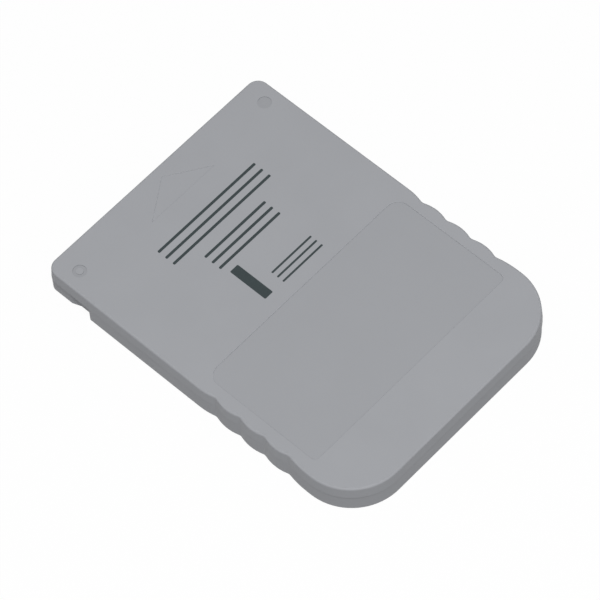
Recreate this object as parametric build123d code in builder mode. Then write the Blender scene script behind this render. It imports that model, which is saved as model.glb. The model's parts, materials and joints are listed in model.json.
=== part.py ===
"""Console memory card: two moulded shells round a small circuit board with edge contacts.

X runs across the card, +Y points to the connector end and +Z is up. The origin lies under the
middle of the card, on its flat underside. All sizes are in millimetres.
"""
import os

from build123d import *

# Plan of the card
card_width = 42.0
card_length = 56.8
front_corner_radius = 1.9
rear_corner_radius = 8.2
top_edge_radius = 0.3
bottom_edge_chamfer = 0.25

# Stack of the card, from the underside up
floor_thickness = 1.10
board_standoff = 0.35
board_thickness = 1.00
chip_height = 1.40
chip_headroom = 0.25
roof_thickness = 1.00
seam_above_board = 0.60

# Grip scallops down both long sides
scallop_count = 4
scallop_pitch = 4.38
scallop_depth = 0.44
scallop_valley_radius = 0.9
scallop_lead_in = 2.8
scallop_run_out = 3.4
plain_side_behind_scallops = 0.80

# Keyed step and detent on the lower shell's sides, at the connector end
key_length = 8.0
key_inset = 0.32
key_front_radius = 1.3
detent_inset = 0.80
detent_length = 2.3
detent_front_ramp = 1.3
detent_rear_ramp = 0.4
key_corner_radius = 0.36

# Walls, which lean in above a narrow land at the seam, the lip that laps the two shells,
# and the fine step that shows where they meet
wall_lean = 0.15
seam_land = 0.20
side_wall = 1.25
front_wall = 1.20
rear_wall = 1.25
cavity_front_chamfer = 0.6
lip_thickness = 0.55
lip_height = 0.55
lip_clearance = 0.10
lip_behind_key = 1.5
seam_step = 0.06

# Connector bays, from the left side to the right
bay_contact_counts = (3, 3, 2)
bay_side_margin = 2.40
bay_divider = 1.20
bay_depth = 7.0
bay_wall = 1.0
divider_setback = 0.4
frame_clearance = 0.10

# Edge contacts
contact_width = 2.4
contact_thickness = 0.08
contact_setback = 0.5

# Circuit board
board_length = 33.0
board_clearance = 0.25
board_corner_chamfer = 0.8
rail_width = 1.0
rail_spacing = 20.0

# Locating pins on the lower shell, which pass the board and enter sockets under the roof
pin_radius = 0.90
pin_clearance = 0.05
pin_board_clearance = 0.15
pin_headroom = 0.30
pin_boss_wall = 0.80
pin_from_side = 2.6
pin_behind_bays = 4.5

# Screw that closes the case from the underside
screw_shank_radius = 0.85
screw_head_radius = 1.75
screw_head_height = 0.90
screw_head_recess = 0.30
screw_head_clearance = 0.20
screw_hole_clearance = 0.05
screw_post_wall = 1.0
screw_boss_wall = 1.3
screw_tip_length = 0.6
screw_tip_clearance = 0.30
cross_slot_width = 0.45
cross_slot_length = 2.0
cross_slot_depth = 0.45

# Stiffening ribs under the roof
rib_width = 0.8
rib_height = 0.7

# Label recess on the top face
label_length = 19.5
label_from_rear = 9.15
label_from_side = 2.24
label_depth = 0.10
label_front_radius = 2.0
label_rear_radius = 0.8

# Insertion arrow sunk in the top face
arrow_width = 12.2
arrow_length = 4.1
arrow_from_front = 1.8
arrow_depth = 0.07

# Round moulding marks near the front corners
mark_radius = 1.0
mark_depth = 0.12
mark_from_side = 2.75
mark_from_front = 4.0
gate_stub_radius = 0.52
gate_stub_height = 0.11

# Bevel round the rims of the label recess and the arrow
rim_bevel = 0.04

# Chips and small parts on the board
chip_lift = 0.10
chip_bevel = 0.15
lead_width = 0.30
lead_thickness = 0.15
lead_foot = 0.60
lead_reach = 0.45
controller_size = (5.3, 7.2)
controller_from_middle = 7.0
controller_behind_bays = 7.2
controller_lead_count = 10
controller_lead_pitch = 0.65
memory_size = (5.2, 5.2)
memory_from_middle = 6.5
memory_behind_bays = 6.7
memory_lead_count = 4
memory_lead_pitch = 1.27
regulator_size = (1.3, 2.9)
regulator_height = 1.05
regulator_from_board_side = 5.8
regulator_behind_bays = 14.2
regulator_lead_pitch = 1.9
capacitor_size = (1.25, 2.0, 0.85)
capacitor_behind_bays = 3.7
capacitor_spacing = 6.5
output_capacitor_from_regulator = 3.7
resistor_size = (1.6, 0.8, 0.45)
resistor_count = 4
resistor_pitch = 2.2
resistor_from_board_rear = 3.0

# Shares that keep a rounding inside the step or corner it sits on
step_share = 0.45
corner_share = 0.7
match_tolerance = 0.01

# Heights and edges that follow from the sizes above
board_underside = floor_thickness + board_standoff
board_top = board_underside + board_thickness
roof_underside = board_top + chip_height + chip_headroom
card_thickness = roof_underside + roof_thickness
seam_height = board_top + seam_above_board
frame_underside = board_top + frame_clearance
half_width = card_width / 2
front_y = card_length / 2
rear_y = -card_length / 2
cavity_half_width = half_width - scallop_depth - side_wall
cavity_front = front_y - front_wall
cavity_rear = rear_y + rear_wall
cavity_length = cavity_front - cavity_rear
cavity_middle = (cavity_front + cavity_rear) / 2
key_rear = front_y - key_length
lip_front = key_rear - lip_behind_key
detent_corner_radius = min(key_corner_radius, step_share * detent_inset)
underside_chamfer = min(bottom_edge_chamfer, corner_share * detent_corner_radius)
last_valley = rear_y + rear_corner_radius + plain_side_behind_scallops + scallop_run_out
valleys = [last_valley + scallop_pitch * i for i in reversed(range(scallop_count))]
board_front = cavity_front - board_clearance
board_rear = board_front - board_length
board_width = 2 * (cavity_half_width - board_clearance)

# Bays: each contact has one pitch of width, and dividers stand between the bays
bank_half_width = cavity_half_width - bay_side_margin
bank_width = 2 * bank_half_width
divider_count = len(bay_contact_counts) - 1
contact_pitch = (bank_width - bay_divider * divider_count) / sum(bay_contact_counts)
bay_rear = cavity_front - bay_depth
frame_rear = bay_rear - bay_wall
tongue_width = bay_side_margin - lip_clearance
bay_spans = []
contact_centres = []
bay_start = -bank_half_width
for contacts_here in bay_contact_counts:
    bay_end = bay_start + contacts_here * contact_pitch
    bay_spans.append((bay_start, bay_end))
    contact_centres += [bay_start + (i + 0.5) * contact_pitch for i in range(contacts_here)]
    bay_start = bay_end + bay_divider
contact_front = board_front - contact_setback
contact_length = contact_front - bay_rear - contact_setback

# Pins and screw: where they stand and how their sockets fit them
socket_radius = pin_radius + pin_clearance
pin_boss_radius = socket_radius + pin_boss_wall
pin_top = roof_underside - pin_headroom
pin_x = cavity_half_width - pin_from_side
pin_y = frame_rear - pin_behind_bays
pins = [(-pin_x, pin_y), (pin_x, pin_y)]
screw_counterbore_radius = screw_head_radius + screw_head_clearance
screw_post_radius = screw_counterbore_radius + screw_post_wall
screw_hole_radius = screw_shank_radius + screw_hole_clearance
screw_boss_radius = screw_hole_radius + screw_boss_wall
screw_seat = screw_head_recess + screw_head_height
screw_tip = roof_underside - screw_tip_clearance
screw_y = board_rear - board_clearance - screw_post_radius

# Places of the chips and small parts, tied to the bays and to the board's edges
controller_place = (-controller_from_middle, frame_rear - controller_behind_bays)
memory_place = (memory_from_middle, frame_rear - memory_behind_bays)
regulator_place = (board_width / 2 - regulator_from_board_side, frame_rear - regulator_behind_bays)
capacitor_places = [
    (0, frame_rear - capacitor_behind_bays),
    (0, frame_rear - capacitor_behind_bays - capacitor_spacing),
    (regulator_place[0] - output_capacitor_from_regulator, regulator_place[1]),
]
resistor_y = board_rear + resistor_from_board_rear

# Marks on the top face
label_width = card_width - 2 * label_from_side
label_middle = rear_y + label_from_rear + label_length / 2
arrow_tip = front_y - arrow_from_front
mark_places = [(side * (half_width - mark_from_side), front_y - mark_from_front) for side in (-1, 1)]


def shell_outline(keyed):
    """Plan outline of one shell, with scallops; the lower shell is keyed and a hair smaller."""
    side_x = half_width - seam_step if keyed else half_width
    back_y = rear_y + seam_step if keyed else rear_y
    front_x = half_width - key_inset if keyed else half_width
    front_radius = key_front_radius if keyed else front_corner_radius
    valley_x = half_width - scallop_depth
    with BuildSketch(mode=Mode.PRIVATE) as outline:
        with BuildLine():
            front = Line((0, front_y), (front_x - front_radius, front_y))
            corner_end = (front_x, front_y - front_radius)
            TangentArc(front @ 1, corner_end, tangent=(1, 0))
            side_start = corner_end
            if keyed:
                detent_front = key_rear + detent_length
                detent = Polyline(
                    corner_end,
                    (front_x, detent_front + detent_front_ramp),
                    (half_width - detent_inset, detent_front),
                    (half_width - detent_inset, key_rear + detent_rear_ramp),
                    (side_x, key_rear),
                )
                side_start = detent @ 1
            side = Line(side_start, (side_x, valleys[0] + scallop_lead_in))
            TangentArc(side @ 1, (valley_x, valleys[0]), tangent=(0, -1))
            for near, far in zip(valleys, valleys[1:]):
                ThreePointArc((valley_x, near), (side_x, (near + far) / 2), (valley_x, far))
            run_out = (side_x, valleys[-1] - scallop_run_out)
            TangentArc(run_out, (valley_x, valleys[-1]), tangent=(0, 1))
            shoulder = Line(run_out, (side_x, back_y + rear_corner_radius))
            rear_start = (side_x - rear_corner_radius, back_y)
            TangentArc(shoulder @ 1, rear_start, tangent=(0, -1))
            Line(rear_start, (0, back_y))
            mirror(about=Plane.YZ)
        make_face()
        for y in valleys:
            at_valley = (y - match_tolerance, y + match_tolerance)
            fillet(outline.vertices().filter_by_position(Axis.Y, *at_valley), scallop_valley_radius)
        if keyed:
            key_front = key_rear + detent_length + detent_front_ramp
            at_detent = (key_rear - match_tolerance, key_front + match_tolerance)
            fillet(outline.vertices().filter_by_position(Axis.Y, *at_detent), detent_corner_radius)
    return outline.sketch


def cavity_outline(grow=0.0):
    """Plan outline of the room inside the shells, grown outwards by a given amount."""
    with BuildSketch(mode=Mode.PRIVATE) as outline:
        with Locations((0, cavity_middle)):
            Rectangle(2 * (cavity_half_width + grow), cavity_length + 2 * grow)
        ends = outline.vertices().group_by(Axis.Y)
        fillet(ends[0], rear_corner_radius - rear_wall + grow)
        chamfer(outline.vertices().group_by(Axis.Y)[-1], cavity_front_chamfer)
    return outline.sketch


def lap_strip(thickness, front):
    """Strip round the outside of the cavity, from the rear up to a line across the card."""
    with BuildSketch(mode=Mode.PRIVATE) as strip:
        add(cavity_outline(thickness))
        add(cavity_outline(), mode=Mode.SUBTRACT)
        with Locations((0, front)):
            Rectangle(card_width, card_length, align=(Align.CENTER, Align.MIN), mode=Mode.SUBTRACT)
    return strip.sketch


# Upper shell: roof, upper walls and the frame of the connector bays
with BuildPart() as upper_shell:
    with BuildSketch(Plane.XY.offset(seam_height)):
        add(shell_outline(keyed=False))
    extrude(amount=card_thickness - seam_height)

    # Lean of the walls, which lets the shell leave its mould, and the rounded top edge
    top_face = upper_shell.faces().sort_by(Axis.Z)[-1]
    lean_height = card_thickness - seam_height - seam_land
    chamfer(top_face.edges(), wall_lean, length2=lean_height, reference=top_face)
    fillet(upper_shell.faces().sort_by(Axis.Z)[-1].outer_wire().edges(), top_edge_radius)

    # Room inside, and the lip that drops into the lower shell
    with BuildSketch(Plane.XY.offset(seam_height)):
        add(cavity_outline())
    extrude(amount=roof_underside - seam_height, mode=Mode.SUBTRACT)
    with BuildSketch(Plane.XY.offset(seam_height)):
        add(lap_strip(lip_thickness, lip_front))
    extrude(amount=-lip_height)

    # Windows of the bays in the front wall
    with BuildSketch(Plane.XY.offset(seam_height)):
        for left, right in bay_spans:
            with Locations(((left + right) / 2, cavity_front)):
                Rectangle(right - left, front_wall, align=(Align.CENTER, Align.MIN))
    extrude(amount=roof_underside - seam_height, mode=Mode.SUBTRACT)

    # Tongues beside the bays, which drop into the lower shell's front wall
    with BuildSketch(Plane.XY.offset(seam_height)):
        for side in (-1, 1):
            with Locations((side * (bank_half_width + tongue_width / 2), cavity_front)):
                tongue_length = front_wall - divider_setback
                Rectangle(tongue_width, tongue_length, align=(Align.CENTER, Align.MIN))
    extrude(amount=frame_underside - seam_height)

    # Bay frame: side walls, back wall and the dividers that reach the front
    with BuildSketch(Plane.XY.offset(frame_underside)):
        frame_width = bank_width + 2 * bay_wall
        with Locations((0, bay_rear)):
            Rectangle(frame_width, bay_wall, align=(Align.CENTER, Align.MAX))
            Rectangle(frame_width, bay_depth - board_clearance, align=(Align.CENTER, Align.MIN))
            Rectangle(bank_width, bay_depth, align=(Align.CENTER, Align.MIN), mode=Mode.SUBTRACT)
        for left, right in bay_spans[1:]:
            with Locations((left - bay_divider / 2, bay_rear)):
                divider_length = front_y - divider_setback - bay_rear
                Rectangle(bay_divider, divider_length, align=(Align.CENTER, Align.MIN))
    extrude(amount=roof_underside - frame_underside)

    # Sockets for the locating pins
    with BuildSketch(Plane.XY.offset(frame_underside)):
        with Locations(*pins):
            Circle(pin_boss_radius)
    extrude(amount=roof_underside - frame_underside)
    with BuildSketch(Plane.XY.offset(frame_underside)):
        with Locations(*pins):
            Circle(socket_radius)
    extrude(amount=roof_underside - frame_underside, mode=Mode.SUBTRACT)

    # Ribs that tie the screw boss to the walls
    with BuildSketch(Plane.XY.offset(roof_underside)):
        with Locations((0, screw_y)):
            Rectangle(2 * cavity_half_width, rib_width)
            Rectangle(rib_width, screw_y - cavity_rear, align=(Align.CENTER, Align.MAX))
    extrude(amount=-rib_height)

    # Screw boss, with its pilot hole
    with BuildSketch(Plane.XY.offset(board_top)):
        with Locations((0, screw_y)):
            Circle(screw_boss_radius)
    extrude(amount=roof_underside - board_top)
    with BuildSketch(Plane.XY.offset(board_top)):
        with Locations((0, screw_y)):
            Circle(screw_hole_radius)
    extrude(amount=roof_underside - board_top, mode=Mode.SUBTRACT)

    # Label recess
    with BuildSketch(Plane.XY.offset(card_thickness)) as label:
        with Locations((0, label_middle)):
            Rectangle(label_width, label_length)
        fillet(label.vertices().group_by(Axis.Y)[0], label_rear_radius)
        fillet(label.vertices().group_by(Axis.Y)[-1], label_front_radius)
    extrude(amount=-label_depth, mode=Mode.SUBTRACT)

    # Insertion arrow, pointing to the connector end, and the bevel round both rims
    with BuildSketch(Plane.XY.offset(card_thickness)):
        with BuildLine():
            Polyline(
                (-arrow_width / 2, arrow_tip - arrow_length),
                (arrow_width / 2, arrow_tip - arrow_length),
                (0, arrow_tip),
                close=True,
            )
        make_face()
    extrude(amount=-arrow_depth, mode=Mode.SUBTRACT)
    chamfer(upper_shell.faces().sort_by(Axis.Z)[-1].inner_wires().edges(), rim_bevel)

    # Round marks, each a shallow well; the gate's stub stands in the left one
    with BuildSketch(Plane.XY.offset(card_thickness)):
        with Locations(*mark_places):
            Circle(mark_radius)
    extrude(amount=-mark_depth, mode=Mode.SUBTRACT)
    with BuildSketch(Plane.XY.offset(card_thickness - mark_depth)):
        with Locations(mark_places[0]):
            Circle(gate_stub_radius)
    extrude(amount=gate_stub_height)
upper_shell.part.label = "upper_shell"

# Lower shell: floor, lower walls, key and pins
with BuildPart() as lower_shell:
    with BuildSketch():
        add(shell_outline(keyed=True))
    extrude(amount=seam_height)
    chamfer(lower_shell.faces().sort_by(Axis.Z)[0].outer_wire().edges(), underside_chamfer)

    # Room inside, the rebate for the lip and the low front wall under the bays
    with BuildSketch(Plane.XY.offset(floor_thickness)):
        add(cavity_outline())
    extrude(amount=seam_height - floor_thickness, mode=Mode.SUBTRACT)
    with BuildSketch(Plane.XY.offset(seam_height)):
        add(lap_strip(lip_thickness + lip_clearance, lip_front + lip_clearance))
    extrude(amount=-lip_height - lip_clearance, mode=Mode.SUBTRACT)
    with BuildSketch(Plane.XY.offset(board_top)):
        with Locations((0, cavity_front)):
            Rectangle(2 * cavity_half_width, front_wall, align=(Align.CENTER, Align.MIN))
    extrude(amount=seam_above_board, mode=Mode.SUBTRACT)

    # Rails under the board
    with BuildSketch(Plane.XY.offset(floor_thickness)):
        with GridLocations(rail_spacing, 0, 2, 1):
            with Locations((0, cavity_middle)):
                Rectangle(rail_width, cavity_length)
    extrude(amount=board_standoff)

    # Locating pins
    with BuildSketch(Plane.XY.offset(floor_thickness)):
        with Locations(*pins):
            Circle(pin_radius)
    extrude(amount=pin_top - floor_thickness)

    # Screw post, counterbored from the underside
    with BuildSketch(Plane.XY.offset(floor_thickness)):
        with Locations((0, screw_y)):
            Circle(screw_post_radius)
    extrude(amount=board_top - floor_thickness)
    with Locations(Plane((0, screw_y, 0), z_dir=(0, 0, -1))):
        CounterBoreHole(screw_hole_radius, screw_counterbore_radius, screw_seat, board_top)
lower_shell.part.label = "lower_shell"

# Circuit board, with holes for the pins
with BuildPart() as circuit_board:
    with BuildSketch(Plane.XY.offset(board_underside)) as board_plan:
        with Locations((0, board_front)):
            Rectangle(board_width, board_length, align=(Align.CENTER, Align.MAX))
        chamfer(board_plan.vertices(), board_corner_chamfer)
        with Locations(*pins):
            Circle(pin_radius + pin_board_clearance, mode=Mode.SUBTRACT)
    extrude(amount=board_thickness)
circuit_board.part.label = "circuit_board"

# Edge contacts, one gold pad each
contacts = []
for number, centre in enumerate(contact_centres, start=1):
    with BuildPart() as contact:
        with BuildSketch(Plane.XY.offset(board_top)):
            with Locations((centre, contact_front)):
                Rectangle(contact_width, contact_length, align=(Align.CENTER, Align.MAX))
        extrude(amount=contact_thickness)
    contact.part.label = f"contact_{number}"
    contacts.append(contact.part)


def chip_body(size, place, height):
    """Moulded chip body with a bevelled top, lifted off the board by its leads."""
    with BuildPart() as body:
        with BuildSketch(Plane.XY.offset(board_top + chip_lift)):
            with Locations(place):
                Rectangle(*size)
        extrude(amount=height - chip_lift)
        chamfer(body.faces().sort_by(Axis.Z)[-1].edges(), chip_bevel)
    return body.part


def lead_row(place, side, body_width, height, lead_places):
    """Row of gull-wing leads down one side of a chip; side is 1 for right and -1 for left."""
    root = place[0] + side * body_width / 2
    knee = root + side * lead_reach
    toe = knee + side * lead_foot
    shoulder = board_top + chip_lift + (height - chip_lift) / 2
    with BuildPart() as row:
        with BuildSketch(*[Plane.XZ.offset(-place[1] - y) for y in lead_places]):
            with BuildLine():
                Polyline(
                    (root, shoulder),
                    (knee, shoulder),
                    (knee, board_top + lead_thickness),
                    (toe, board_top + lead_thickness),
                    (toe, board_top),
                    (knee - side * lead_thickness, board_top),
                    (knee - side * lead_thickness, shoulder - lead_thickness),
                    (root, shoulder - lead_thickness),
                    close=True,
                )
            make_face()
        extrude(amount=lead_width / 2, both=True)
    return row.part


def row_places(count, pitch):
    """Places of the leads along a chip's side, counted from its middle."""
    return [(i - (count - 1) / 2) * pitch for i in range(count)]


def leads_of(place, body_width, height, left_places, right_places):
    """All the leads of one chip, as one group of separate solids."""
    with BuildPart() as leads:
        add(lead_row(place, -1, body_width, height, left_places))
        add(lead_row(place, 1, body_width, height, right_places))
    return leads.part


# Controller, memory and regulator, each a body with its leads
controller_chip = chip_body(controller_size, controller_place, chip_height)
controller_chip.label = "controller_chip"
controller_rows = row_places(controller_lead_count, controller_lead_pitch)
controller_leads = leads_of(
    controller_place, controller_size[0], chip_height, controller_rows, controller_rows
)
controller_leads.label = "controller_leads"
memory_chip = chip_body(memory_size, memory_place, chip_height)
memory_chip.label = "memory_chip"
memory_rows = row_places(memory_lead_count, memory_lead_pitch)
memory_leads = leads_of(memory_place, memory_size[0], chip_height, memory_rows, memory_rows)
memory_leads.label = "memory_leads"
regulator = chip_body(regulator_size, regulator_place, regulator_height)
regulator.label = "regulator"
regulator_leads = leads_of(
    regulator_place,
    regulator_size[0],
    regulator_height,
    row_places(1, regulator_lead_pitch),
    row_places(2, regulator_lead_pitch),
)
regulator_leads.label = "regulator_leads"


def small_part(size, place):
    """Ceramic block of a capacitor or a resistor, soldered flat on the board."""
    with BuildPart() as block:
        with BuildSketch(Plane.XY.offset(board_top)):
            with Locations(place):
                Rectangle(size[0], size[1])
        extrude(amount=size[2])
    return block.part


capacitors = []
for number, place in enumerate(capacitor_places, start=1):
    capacitor = small_part(capacitor_size, place)
    capacitor.label = f"capacitor_{number}"
    capacitors.append(capacitor)

resistors = []
for number, x in enumerate(row_places(resistor_count, resistor_pitch), start=1):
    resistor = small_part(resistor_size, (controller_place[0] + x, resistor_y))
    resistor.label = f"resistor_{number}"
    resistors.append(resistor)

# Case screw: a flat head with a cross slot, a plain shank and a tapered tip
with BuildPart() as case_screw:
    with BuildSketch(Plane.XZ.offset(-screw_y)):
        with BuildLine():
            Polyline(
                (0, screw_tip),
                (screw_shank_radius / 2, screw_tip),
                (screw_shank_radius, screw_tip - screw_tip_length),
                (screw_shank_radius, screw_seat),
                (screw_head_radius, screw_seat),
                (screw_head_radius, screw_head_recess),
                (0, screw_head_recess),
                close=True,
            )
        make_face()
    revolve(axis=Axis((0, screw_y, 0), (0, 0, 1)))
    with BuildSketch(Plane.XY.offset(screw_head_recess)):
        with Locations((0, screw_y)):
            Rectangle(cross_slot_length, cross_slot_width)
            Rectangle(cross_slot_width, cross_slot_length)
    extrude(amount=cross_slot_depth, mode=Mode.SUBTRACT)
case_screw.part.label = "case_screw"

os.makedirs("parts", exist_ok=True)
pieces = [upper_shell.part, lower_shell.part, circuit_board.part, case_screw.part]
pieces += [controller_chip, controller_leads, memory_chip, memory_leads, regulator, regulator_leads]
pieces += contacts + capacitors + resistors
for piece in pieces:
    export_step(piece, f"parts/{piece.label}.step")
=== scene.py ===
"""Studio picture of a console memory card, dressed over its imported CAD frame.

Sizes are in metres, in the frame of the CAD model: X runs across the card, +Y points to the
connector end and +Z is up, with the origin on the flat underside.
"""
import json
import logging
import math
from dataclasses import dataclass
from enum import Enum

import bmesh
import bpy
from mathutils import Matrix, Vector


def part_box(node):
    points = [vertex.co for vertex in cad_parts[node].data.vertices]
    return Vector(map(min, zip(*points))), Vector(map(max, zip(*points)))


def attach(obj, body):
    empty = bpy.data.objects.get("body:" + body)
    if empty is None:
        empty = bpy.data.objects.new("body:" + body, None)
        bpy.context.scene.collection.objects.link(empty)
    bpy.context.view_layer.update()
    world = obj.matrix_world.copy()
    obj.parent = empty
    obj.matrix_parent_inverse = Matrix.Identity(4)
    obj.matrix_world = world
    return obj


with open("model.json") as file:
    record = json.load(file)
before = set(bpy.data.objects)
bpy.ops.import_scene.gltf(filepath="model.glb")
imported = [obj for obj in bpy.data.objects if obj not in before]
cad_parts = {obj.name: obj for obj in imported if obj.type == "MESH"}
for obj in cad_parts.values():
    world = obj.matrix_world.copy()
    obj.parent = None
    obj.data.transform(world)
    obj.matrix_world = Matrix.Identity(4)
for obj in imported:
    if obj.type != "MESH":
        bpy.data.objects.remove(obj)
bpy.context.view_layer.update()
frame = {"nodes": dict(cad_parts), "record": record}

LOG = logging.getLogger("memory_card")
MM = 0.001
BODY = "root"
WHITE = (1.0, 1.0, 1.0)

Colour = tuple[float, float, float]
Triple = tuple[float, float, float]
Point = tuple[float, float]
Bar = tuple[float, float, float, float]
Socket = bpy.types.NodeSocket
Value = Socket | float | Colour | list[float]


class Graph:
    """Node tree of one material or world, with short calls to add and feed nodes.

    Attributes:
        NOISE_MIDDLE: Range in which nearly all of a noise lies.
    """

    NOISE_MIDDLE = (0.3, 0.7)

    def __init__(self, tree: bpy.types.NodeTree) -> None:
        """Take a tree and empty it, so that it holds only what is added here."""
        self.tree = tree
        self.tree.nodes.clear()

    def add(
        self, kind: str, inputs: dict[str | int, Value] | None = None, **settings: object
    ) -> bpy.types.Node:
        """Add a node.

        Args:
            kind: Blender's name of the node's type.
            inputs: What goes into its inputs, by their names or numbers.
            **settings: Properties to set on the new node.

        Returns:
            The new node.
        """
        node = self.tree.nodes.new(kind)
        for name, setting in settings.items():
            setattr(node, name, setting)
        for name, value in (inputs or {}).items():
            self.feed(value, node.inputs[name])
        return node

    def feed(self, value: Value, target: Socket) -> None:
        """Link an output to an input, or set the input to a plain value.

        Args:
            value: Output of another node, a number, a colour or a list of numbers.
            target: Input that takes it.
        """
        if isinstance(value, Socket):
            self.tree.links.new(value, target)
        elif isinstance(target, bpy.types.NodeSocketColor):
            target.default_value = (*value, 1.0)
        else:
            target.default_value = value

    def place(self, kind: str) -> Socket:
        """Give a point's place, by Blender's name of the coordinates."""
        return self.add("ShaderNodeTexCoord").outputs[kind]

    def along(self, vector: Socket, axis: str) -> Socket:
        """Take the X, Y or Z of a vector."""
        return self.add("ShaderNodeSeparateXYZ", {"Vector": vector}).outputs[axis]

    def maths(self, operation: str, *values: Value) -> Socket:
        """Work out a number from others, by Blender's name of the operation."""
        node = self.add("ShaderNodeMath", dict(enumerate(values)), operation=operation)
        return node.outputs["Value"]

    def noise(self, size: float, stretch: Triple) -> Socket:
        """Add noise with patches of a given size, fixed to the object.

        Args:
            size: Size of the patches.
            stretch: How far they are drawn out along X, Y and Z.

        Returns:
            The noise's output, from 0 to 1.
        """
        mapping = self.add("ShaderNodeMapping", {
            "Vector": self.place("Object"),
            "Scale": [1.0 / (size * share) for share in stretch],
        })
        noise = self.add("ShaderNodeTexNoise", {
            "Vector": mapping.outputs["Vector"],
            "Scale": 1.0,
        })
        return noise.outputs["Fac"]

    def ranged(self, source: Socket, low: float, high: float) -> Socket:
        """Spread the middle of a noise over a range.

        Args:
            source: Noise from 0 to 1.
            low: Lowest result.
            high: Highest result.

        Returns:
            The ranged output.
        """
        lowest, highest = self.NOISE_MIDDLE
        spread = self.add("ShaderNodeMapRange", {
            "Value": source,
            "From Min": lowest,
            "From Max": highest,
            "To Min": low,
            "To Max": high,
        })
        return spread.outputs["Result"]

    def blend(self, share: Socket, first: Value, second: Value) -> Socket:
        """Mix two colours, by the share of the second."""
        inputs = {"Factor": share, "A": first, "B": second}
        return self.add("ShaderNodeMix", inputs, data_type="RGBA").outputs["Result"]


def shade(colour: Colour, factor: float) -> Colour:
    """Scale a colour's brightness."""
    return tuple(channel * factor for channel in colour)


def put(name: str, data: bpy.types.ID) -> bpy.types.Object:
    """Make an object and link it to the scene.

    Args:
        name: Name of the object.
        data: Its mesh, camera or light.

    Returns:
        The new object.
    """
    thing = bpy.data.objects.new(name, data)
    bpy.context.scene.collection.objects.link(thing)
    return thing


def facing_in(azimuth: float, elevation: float) -> Matrix:
    """Turn a camera or a lamp so that it faces inwards from a place round the card.

    Args:
        azimuth: Angle round the card, in degrees; 0 stands on the -Y side.
        elevation: Angle above the floor, in degrees.

    Returns:
        The turn.
    """
    turn = Matrix.Rotation(math.radians(azimuth), 4, "Z")
    tilt = Matrix.Rotation(math.radians(90.0 - elevation), 4, "X")
    return turn @ tilt


@dataclass(frozen=True)
class Finish:
    """A surface whose tone, gloss and relief each vary at a scale of their own.

    Attributes:
        name: Name of the material.
        colour: Linear base colour.
        tone_shift: Share of the colour by which the tone strays.
        tone_size: Size of the cloudy patches of tone.
        roughness: Lowest and highest roughness.
        grain_size: Size of the surface's grain.
        grain_depth: Height of the grain.
        stretch: How far the pattern is drawn out along X, Y and Z.
        metallic: 1 for bare metal and 0 for the rest.
        specular: Strength of the mirror part of the gloss.
    """

    name: str
    colour: Colour
    tone_shift: float
    tone_size: float
    roughness: tuple[float, float]
    grain_size: float
    grain_depth: float
    stretch: Triple = (1.0, 1.0, 1.0)
    metallic: float = 0.0
    specular: float = 0.5

    def material(self) -> bpy.types.Material:
        """Build the node material of this finish.

        Returns:
            The new material.
        """
        material = bpy.data.materials.new(self.name)
        material.use_nodes = True
        graph = Graph(material.node_tree)
        relief = graph.add("ShaderNodeBump", {
            "Height": graph.noise(self.grain_size, self.stretch),
            "Distance": self.grain_depth,
        })
        shader = graph.add("ShaderNodeBsdfPrincipled", {
            "Metallic": self.metallic,
            "Specular IOR Level": self.specular,
            "Roughness": graph.ranged(graph.noise(self.tone_size, self.stretch), *self.roughness),
            "Normal": relief.outputs["Normal"],
        })
        self.paint(graph, shader)
        graph.add("ShaderNodeOutputMaterial", {"Surface": shader.outputs["BSDF"]})
        return material

    def paint(self, graph: Graph, shader: bpy.types.Node) -> None:
        """Give the shader its colour, which is the cloudy tone alone."""
        graph.feed(self.tone(graph), shader.inputs["Base Color"])

    def tone(self, graph: Graph) -> Socket:
        """Add the cloudy tone, as a mix of a darker and a lighter shade.

        Args:
            graph: Node tree of the material.

        Returns:
            The tone.
        """
        clouds = graph.ranged(graph.noise(self.tone_size, self.stretch), 0.0, 1.0)
        dark, light = (shade(self.colour, 1.0 + side * self.tone_shift) for side in (-1, 1))
        return graph.blend(clouds, dark, light)


@dataclass(frozen=True)
class Moulded(Finish):
    """Moulded plastic, with painted shade that darkens the level floors of the recesses in its
    top face.

    Attributes:
        top: Height of the top face.
        shallow: Depth at which the painted shade starts to darken the tone.
        deep: Depth at which the painted shade is darkest.
        painted_shade_factor: Share of the tone that the painted shade leaves on the deepest
            recess floors.
        level_margin: How far short of straight up a level face may point.
    """

    top: float = 0.0
    shallow: float = 0.085 * MM
    deep: float = 0.12 * MM
    painted_shade_factor: float = 0.93
    level_margin: float = 0.01

    def paint(self, graph: Graph, shader: bpy.types.Node) -> None:
        """Lay painted shade over the cloudy tone on the level floors of the recesses.

        Args:
            graph: Node tree of the material.
            shader: Principled shader that takes the colour.
        """
        facing = graph.add("ShaderNodeNewGeometry").outputs["True Normal"]
        level = graph.maths("COMPARE", graph.along(facing, "Z"), 1.0, self.level_margin)
        depth = graph.add("ShaderNodeMapRange", {
            "Value": graph.along(graph.place("Object"), "Z"),
            "From Min": self.top - self.shallow,
            "From Max": self.top - self.deep,
        })
        share = graph.maths("MULTIPLY", depth.outputs["Result"], level)
        # Painted shade: recess floors get a darker copy of the plastic's colour, deeper ones
        # darker, standing in for the shade in them.
        painted_recess_shade = shade(self.colour, self.painted_shade_factor)
        graph.feed(graph.blend(share, self.tone(graph), painted_recess_shade), shader.inputs["Base Color"])


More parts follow.
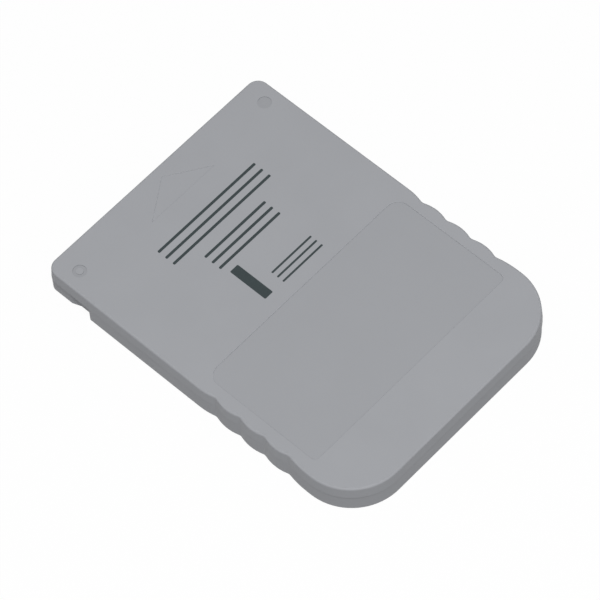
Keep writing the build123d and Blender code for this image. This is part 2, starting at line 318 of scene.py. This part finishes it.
@dataclass(frozen=True)
class Laminate(Finish):
    """Circuit board under solder mask, with the tracks showing through it.

    Attributes:
        track_colour: Colour of the mask where copper lies under it.
        track_length: Length of the straight runs of track.
        track_pitch: Distance between the tracks.
        track_gap: Width of the gaps between them.
    """

    track_colour: Colour = (0.05, 0.22, 0.09)
    track_length: float = 9.0 * MM
    track_pitch: float = 1.1 * MM
    track_gap: float = 0.4 * MM

    def paint(self, graph: Graph, shader: bpy.types.Node) -> None:
        """Lay the tracks over the cloudy tone of the mask.

        Args:
            graph: Node tree of the material.
            shader: Principled shader that takes the colour.
        """
        tracks = graph.add("ShaderNodeTexBrick", {
            "Vector": graph.place("Object"),
            "Scale": 1.0,
            "Mortar Size": self.track_gap / 2,
            "Brick Width": self.track_length,
            "Row Height": self.track_pitch,
        })
        colour = graph.blend(tracks.outputs["Fac"], self.track_colour, self.tone(graph))
        graph.feed(colour, shader.inputs["Base Color"])


class CapAxis(Enum):
    """Axis along which a small part carries its metal ends."""

    ACROSS = "X"
    ALONG = "Y"


@dataclass(frozen=True)
class EndCapped(Finish):
    """Ceramic block with tinned ends.

    Attributes:
        axis: Axis from end to end.
        middle: Middle of the block, as a share of its length.
        cap_share: Share of the length that each metal end covers.
        cap_colour: Colour of the tinned ends.
    """

    axis: CapAxis = CapAxis.ALONG
    middle: float = 0.5
    cap_share: float = 0.2
    cap_colour: Colour = (0.62, 0.62, 0.60)

    def paint(self, graph: Graph, shader: bpy.types.Node) -> None:
        """Paint the ceramic body and its metal ends.

        Args:
            graph: Node tree of the material.
            shader: Principled shader that takes the colour and the metal.
        """
        along = graph.along(graph.place("Generated"), self.axis.value)
        body = graph.maths("COMPARE", along, self.middle, self.middle - self.cap_share)
        colour = graph.blend(body, self.cap_colour, self.tone(graph))
        graph.feed(colour, shader.inputs["Base Color"])
        graph.feed(graph.maths("SUBTRACT", 1.0, body), shader.inputs["Metallic"])


def dress(node_name: str, material: bpy.types.Material) -> None:
    """Give a CAD node its material and report it.

    Args:
        node_name: Name of the node in the frame.
        material: Material that all of it takes.
    """
    node = frame["nodes"][node_name]
    node.data.materials.clear()
    node.data.materials.append(material)
    LOG.info("%s dressed in %s", node_name, material.name)


@dataclass(frozen=True)
class CaseShells:
    """The two moulded halves of the case, and the screw that closes them.

    Attributes:
        plastic: Satin finish of both halves.
        plating: Finish of the screw.
    """

    plastic: Moulded = Moulded(
        name="satin grey plastic",
        colour=(0.347, 0.355, 0.375),
        tone_shift=0.012,
        tone_size=7.0 * MM,
        roughness=(0.44, 0.52),
        grain_size=0.16 * MM,
        grain_depth=0.002 * MM,
        specular=0.12,
        top=5.1 * MM,
    )
    plating: Finish = Finish(
        name="zinc plate",
        colour=(0.58, 0.58, 0.60),
        tone_shift=0.08,
        tone_size=0.8 * MM,
        roughness=(0.28, 0.42),
        grain_size=0.12 * MM,
        grain_depth=0.004 * MM,
        metallic=1.0,
    )

    def build(self) -> None:
        """Dress both halves and the screw."""
        plastic = self.plastic.material()
        for half in ("upper_shell", "lower_shell"):
            dress(half, plastic)
        dress("case_screw", self.plating.material())


@dataclass(frozen=True)
class CircuitBoard:
    """The board inside the case, with its contacts, chips and small parts.

    Attributes:
        mask: Finish of the board.
        gold: Finish of the edge contacts, worn along the way they are plugged in.
        epoxy: Finish of the chips' bodies.
        tin: Finish of the chips' leads.
        capacitor: Finish of the capacitors.
        resistor: Finish of the resistors.
    """

    mask: Laminate = Laminate(
        name="solder mask",
        colour=(0.025, 0.13, 0.055),
        tone_shift=0.10,
        tone_size=3.0 * MM,
        roughness=(0.26, 0.40),
        grain_size=0.25 * MM,
        grain_depth=0.004 * MM,
    )
    gold: Finish = Finish(
        name="gold plate",
        colour=(0.80, 0.57, 0.22),
        tone_shift=0.10,
        tone_size=0.5 * MM,
        roughness=(0.18, 0.34),
        grain_size=0.10 * MM,
        grain_depth=0.002 * MM,
        stretch=(1.0, 12.0, 1.0),
        metallic=1.0,
    )
    epoxy: Finish = Finish(
        name="moulded epoxy",
        colour=(0.028, 0.028, 0.031),
        tone_shift=0.15,
        tone_size=1.5 * MM,
        roughness=(0.50, 0.64),
        grain_size=0.08 * MM,
        grain_depth=0.004 * MM,
    )
    tin: Finish = Finish(
        name="tinned lead",
        colour=(0.66, 0.66, 0.64),
        tone_shift=0.06,
        tone_size=0.4 * MM,
        roughness=(0.26, 0.40),
        grain_size=0.10 * MM,
        grain_depth=0.003 * MM,
        metallic=1.0,
    )
    capacitor: EndCapped = EndCapped(
        name="tan ceramic",
        colour=(0.42, 0.29, 0.16),
        tone_shift=0.06,
        tone_size=0.4 * MM,
        roughness=(0.34, 0.46),
        grain_size=0.06 * MM,
        grain_depth=0.002 * MM,
    )
    resistor: EndCapped = EndCapped(
        name="black glaze",
        colour=(0.02, 0.02, 0.024),
        tone_shift=0.10,
        tone_size=0.4 * MM,
        roughness=(0.20, 0.32),
        grain_size=0.06 * MM,
        grain_depth=0.001 * MM,
        axis=CapAxis.ACROSS,
    )

    def build(self) -> None:
        """Dress the board and every part on it."""
        finishes = {
            "board_green": self.mask,
            "contact_gold": self.gold,
            "chip_black": self.epoxy,
            "lead_tin": self.tin,
            "ceramic_tan": self.capacitor,
            "resistor_black": self.resistor,
        }
        materials = {slot: finish.material() for slot, finish in finishes.items()}
        for piece in frame["record"]["subparts"]:
            if piece["material_slot"] in materials:
                dress(piece["node"], materials[piece["material_slot"]])


class StrokeRun(Enum):
    """Way in which the strokes of a printed field run."""

    ACROSS = 0
    ALONG = 1


@dataclass(frozen=True)
class PrintedField:
    """Block of even round-ended strokes, placed from the middle line and the front edge.

    Attributes:
        name: Name of the piece.
        left: Left limit, from the card's middle line.
        right: Right limit, from the card's middle line.
        front: Front limit, behind the card's front edge.
        rear: Rear limit, behind the card's front edge.
        strokes: Number of strokes.
        stroke_width: Width of each stroke.
        run: Way in which the strokes run.
    """

    name: str
    left: float
    right: float
    front: float
    rear: float
    strokes: int
    stroke_width: float
    run: StrokeRun

    def bars(self) -> list[Bar]:
        """Space the strokes evenly over the field.

        Returns:
            The left, right, front and rear limits of each stroke.
        """
        across = self.run is StrokeRun.ACROSS
        low, high = (self.front, self.rear) if across else (self.left, self.right)
        steps = max(self.strokes - 1, 1)
        starts = [low + (high - low - self.stroke_width) * i / steps for i in range(self.strokes)]
        if across:
            return [(self.left, self.right, at, at + self.stroke_width) for at in starts]
        return [(at, at + self.stroke_width, self.front, self.rear) for at in starts]


@dataclass(frozen=True)
class TopPrint:
    """Ink printed on the top face: blocks of fine strokes and one solid bar.

    Attributes:
        ink: Finish of the print.
        ink_height: How far the ink stands above the plastic.
        ink_root: How far it reaches down into it.
        corner_radius: Radius of the strokes' corners.
        corner_share: Largest share of a stroke's width that one corner takes.
        corner_steps: Number of edges in each rounded corner.
        fields: The printed blocks.
    """

    ink: Finish = Finish(
        name="slate ink",
        colour=(0.032, 0.044, 0.047),
        tone_shift=0.05,
        tone_size=0.8 * MM,
        roughness=(0.52, 0.64),
        grain_size=0.10 * MM,
        grain_depth=0.002 * MM,
        specular=0.25,
    )
    ink_height: float = 0.012 * MM
    ink_root: float = 0.03 * MM
    corner_radius: float = 0.16 * MM
    corner_share: float = 0.45
    corner_steps: int = 6
    fields: tuple[PrintedField, ...] = (
        PrintedField(
            name="print_upper_row",
            left=-9.1 * MM,
            right=10.0 * MM,
            front=9.7 * MM,
            rear=12.95 * MM,
            strokes=3,
            stroke_width=0.42 * MM,
            run=StrokeRun.ACROSS,
        ),
        PrintedField(
            name="print_lower_row",
            left=-5.5 * MM,
            right=6.4 * MM,
            front=15.0 * MM,
            rear=18.1 * MM,
            strokes=3,
            stroke_width=0.42 * MM,
            run=StrokeRun.ACROSS,
        ),
        PrintedField(
            name="print_bar",
            left=-4.95 * MM,
            right=-3.43 * MM,
            front=19.3 * MM,
            rear=25.8 * MM,
            strokes=1,
            stroke_width=1.52 * MM,
            run=StrokeRun.ALONG,
        ),
        PrintedField(
            name="print_small_row",
            left=-1.35 * MM,
            right=6.45 * MM,
            front=23.5 * MM,
            rear=25.85 * MM,
            strokes=3,
            stroke_width=0.30 * MM,
            run=StrokeRun.ACROSS,
        ),
    )

    def build(self) -> None:
        """Print every field on the top face."""
        material = self.ink.material()
        for field in self.fields:
            piece = self.printed(field)
            piece.data.materials.append(material)
            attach(piece, BODY)
            LOG.info("%s printed with %d strokes", piece.name, field.strokes)

    def printed(self, field: PrintedField) -> bpy.types.Object:
        """Build one field as thin solid strokes.

        Args:
            field: The field to print.

        Returns:
            The new object, linked to the scene.
        """
        shape = bmesh.new()
        for bar in field.bars():
            self.add_stroke(shape, bar)
        mesh = bpy.data.meshes.new(field.name)
        shape.to_mesh(mesh)
        shape.free()
        return put(field.name, mesh)

    def add_stroke(self, shape: bmesh.types.BMesh, bar: Bar) -> None:
        """Raise one stroke from just under the top face.

        Args:
            shape: Mesh that takes the stroke.
            bar: Left, right, front and rear limits of the stroke.
        """
        _, front_edge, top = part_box("upper_shell")[1]
        outline = self.outline(bar, front_edge)
        root = [shape.verts.new((x, y, top - self.ink_root)) for x, y in outline]
        crown = [shape.verts.new((x, y, top + self.ink_height)) for x, y in outline]
        shape.faces.new(root[::-1])
        shape.faces.new(crown)
        for i in range(len(outline)):
            shape.faces.new((root[i - 1], root[i], crown[i], crown[i - 1]))

    def outline(self, bar: Bar, front_edge: float) -> list[Point]:
        """Round the corners of a stroke.

        Args:
            bar: Left, right, front and rear limits of the stroke.
            front_edge: Place of the card's front edge along Y.

        Returns:
            The points round the stroke.
        """
        left, right, front, rear = bar
        radius = min(self.corner_radius, self.corner_share * min(right - left, rear - front))
        near, far = front_edge - front - radius, front_edge - rear + radius
        centres = [(right - radius, near), (left + radius, near)]
        centres += [(left + radius, far), (right - radius, far)]
        points = []
        for quarter, (x, y) in enumerate(centres):
            for step in range(self.corner_steps + 1):
                angle = (quarter + step / self.corner_steps) * math.pi / 2
                points.append((x + radius * math.cos(angle), y + radius * math.sin(angle)))
        return points


@dataclass(frozen=True)
class PictureCamera:
    """Camera that sees the card from the picture's viewing angle.

    Attributes:
        azimuth: Angle round the card, in degrees; 0 looks along +Y.
        elevation: Angle above the floor, in degrees.
        roll: Turn about the line of sight, in degrees.
        distance: Distance from the target.
        target: Point in the middle of the picture.
        lens: Focal length, in millimetres.
        sensor: Width of the sensor, in millimetres.
    """

    azimuth: float = -43.368
    elevation: float = 58.413
    roll: float = -4.505
    distance: float = 521.3 * MM
    target: Triple = (-1.306 * MM, -0.277 * MM, 3.5 * MM)
    lens: float = 233.24
    sensor: float = 36.0

    def build(self) -> None:
        """Make the camera and hand it to the scene."""
        data = bpy.data.cameras.new("picture_camera")
        data.sensor_width = self.sensor
        data.lens = self.lens
        camera = put("picture_camera", data)
        turn = facing_in(self.azimuth, self.elevation)
        roll = Matrix.Rotation(math.radians(self.roll), 4, "Z")
        back = Matrix.Translation((0.0, 0.0, self.distance))
        camera.matrix_world = Matrix.Translation(self.target) @ turn @ roll @ back
        bpy.context.scene.camera = camera
        LOG.info("camera set at %.1f degrees elevation", self.elevation)


@dataclass(frozen=True)
class Lamp:
    """Soft square lamp that points at the card.

    Attributes:
        name: Name of the lamp.
        azimuth: Angle round the card, in degrees; 0 stands on the -Y side.
        elevation: Angle above the floor, in degrees.
        distance: Distance from the card.
        size: Side of its square.
        power: Power in watts.
    """

    name: str
    azimuth: float
    elevation: float
    distance: float
    size: float
    power: float

    def build(self) -> None:
        """Hang the lamp and point it at the card."""
        data = bpy.data.lights.new(self.name, "AREA")
        data.size = self.size
        data.energy = self.power
        back = Matrix.Translation((0.0, 0.0, self.distance))
        put(self.name, data).matrix_world = facing_in(self.azimuth, self.elevation) @ back
        LOG.info("%s hung at %.0f degrees elevation", self.name, self.elevation)


@dataclass(frozen=True)
class Studio:
    """White floor, even sky and a soft lamp round the card.

    Attributes:
        floor_size: Side of the floor.
        floor_gap: How far it lies under the card, so that the two faces don't coincide.
        paper_tone: Grey of the floor where it is seen.
        bounce_tone: Grey of the floor in the light that it throws back at the card.
        white_share: Share of plain white in what is seen of the floor.
        sky_strength: Strength of the sky's light on the card.
        lamp: The lamp.
    """

    floor_size: float = 4.0
    floor_gap: float = 0.02 * MM
    paper_tone: float = 0.90
    bounce_tone: float = 0.46
    white_share: float = 0.94
    sky_strength: float = 0.30
    lamp: Lamp = Lamp(
        name="key_lamp", azimuth=-40.0, elevation=69.0, distance=0.80, size=0.20, power=4.68
    )

    def build(self) -> None:
        """Lay the floor, light the sky and hang the lamp."""
        self.lay_floor()
        self.light_sky()
        self.lamp.build()
        bpy.context.scene.view_settings.view_transform = "Standard"

    @staticmethod
    def seen_directly(graph: Graph) -> Socket:
        """Add the test for rays that show the background itself.

        Args:
            graph: Node tree of the floor or the sky.

        Returns:
            1 for camera, glossy and transmission rays, and 0 for the rest.
        """
        rays = graph.add("ShaderNodeLightPath").outputs
        seen = rays["Is Camera Ray"]
        for kind in ("Is Glossy Ray", "Is Transmission Ray"):
            seen = graph.maths("MAXIMUM", seen, rays[kind])
        return seen

    def lay_floor(self) -> None:
        """Lay a pale floor that keeps the card's soft shadow."""
        half, low = self.floor_size / 2, -self.floor_gap
        corners = [(-half, -half, low), (half, -half, low), (half, half, low), (-half, half, low)]
        mesh = bpy.data.meshes.new("studio_floor")
        mesh.from_pydata(corners, [], [(0, 1, 2, 3)])
        mesh.materials.append(self.paper())
        floor = put("studio_floor", mesh)
        LOG.info("floor laid, %.1f m wide", self.floor_size)

    def paper(self) -> bpy.types.Material:
        """Build the floor's material, nearly white where it is seen and darker in its bounce.

        Returns:
            The new material.
        """
        material = bpy.data.materials.new("white studio paper")
        material.use_nodes = True
        graph = Graph(material.node_tree)
        seen = self.seen_directly(graph)
        tone = graph.blend(seen, shade(WHITE, self.bounce_tone), shade(WHITE, self.paper_tone))
        shadowed = graph.add("ShaderNodeBsdfDiffuse", {"Color": tone}).outputs["BSDF"]
        plain = graph.add("ShaderNodeEmission", {"Color": WHITE}).outputs["Emission"]
        share = graph.maths("MULTIPLY", seen, self.white_share)
        mix = graph.add("ShaderNodeMixShader", {"Fac": share, 1: shadowed, 2: plain})
        graph.add("ShaderNodeOutputMaterial", {"Surface": mix.outputs["Shader"]})
        return material

    def light_sky(self) -> None:
        """Light the card from all round, and show plain white behind it."""
        world = bpy.data.worlds.new("studio_sky")
        world.use_nodes = True
        bpy.context.scene.world = world
        graph = Graph(world.node_tree)
        strength = graph.add("ShaderNodeMapRange", {
            "Value": self.seen_directly(graph),
            "To Min": self.sky_strength,
            "To Max": 1.0,
        })
        sky = graph.add("ShaderNodeBackground", {
            "Color": WHITE,
            "Strength": strength.outputs["Result"],
        })
        graph.add("ShaderNodeOutputWorld", {"Surface": sky.outputs["Background"]})
        LOG.info("sky lit at strength %.2f", self.sky_strength)


def main() -> None:
    """Build the card's finishes and print, then the studio round it."""
    logging.basicConfig(level=logging.INFO, format="%(message)s")
    CaseShells().build()
    CircuitBoard().build()
    TopPrint().build()
    Studio().build()
    PictureCamera().build()


if __name__ == "__main__":
    main()
